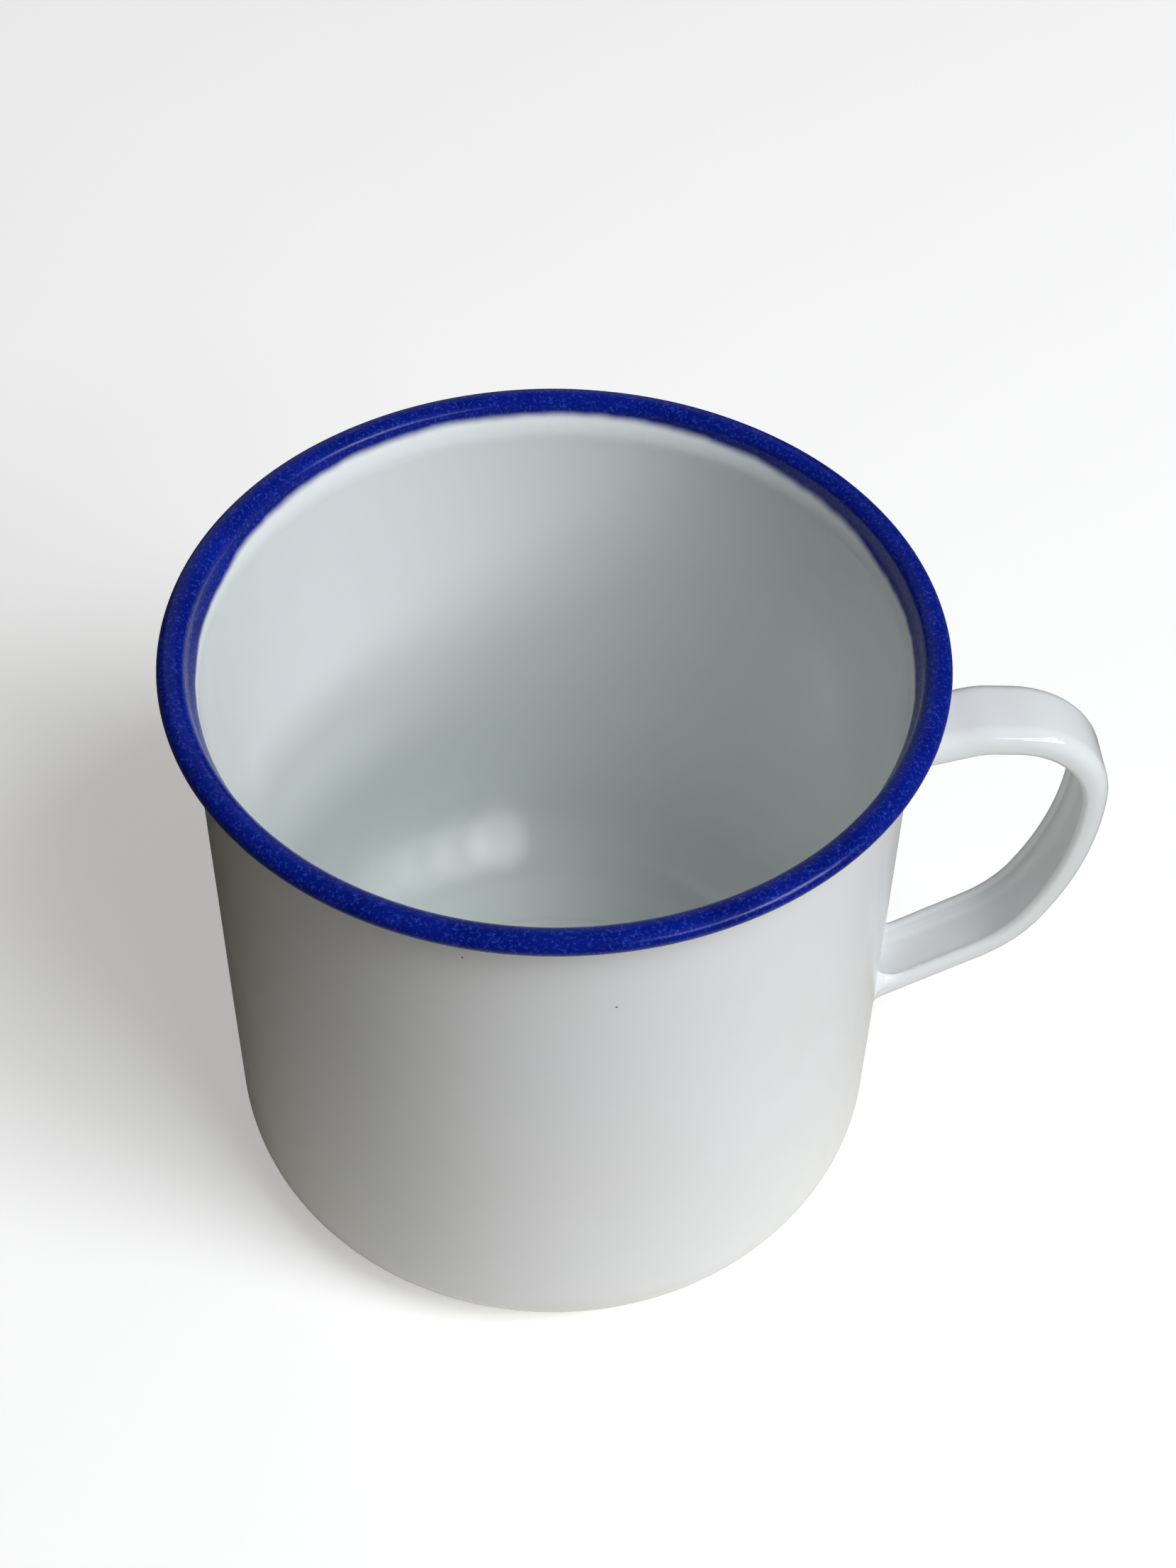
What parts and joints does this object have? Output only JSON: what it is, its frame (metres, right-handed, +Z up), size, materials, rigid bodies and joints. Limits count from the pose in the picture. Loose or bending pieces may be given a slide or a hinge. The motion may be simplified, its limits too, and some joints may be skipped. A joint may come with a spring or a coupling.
{
  "type": "enamelled steel mug",
  "caption": "Straight-sided enamelled steel drinking mug: white glass coat inside and out, cobalt blue rolled rim and a white pressed strap handle with an open channel towards the cup.",
  "frame": {"origin": "on the mug's axis, in the plane of the foot ring that it stands on", "axes": "+Z up along the mug's axis, +X from the axis to the handle, +Y across the handle's width"},
  "size_m": [0.1072, 0.086, 0.081],
  "materials": {
    "white_enamel": "glossy fused glass, slight orange peel",
    "blue_enamel": "glossy cobalt fused glass, faint pale speckle",
    "dark_ground_enamel": "dark bonding coat, hidden under the colour coats",
    "bare_steel": "low-carbon drawing steel, hidden under the coats",
    "weld_metal": "as welded, hidden under the coats"
  },
  "bodies": {
    "root": {"steel_cup": "bare_steel", "ground_coat": "dark_ground_enamel", "inner_white_enamel": "white_enamel", "outer_white_enamel": "white_enamel", "blue_rim_enamel": "blue_enamel", "handle_strap": "bare_steel", "upper_weld": "weld_metal", "lower_weld": "weld_metal", "handle_ground_coat": "dark_ground_enamel", "handle_white_enamel": "white_enamel"}
  },
  "joints": []
}
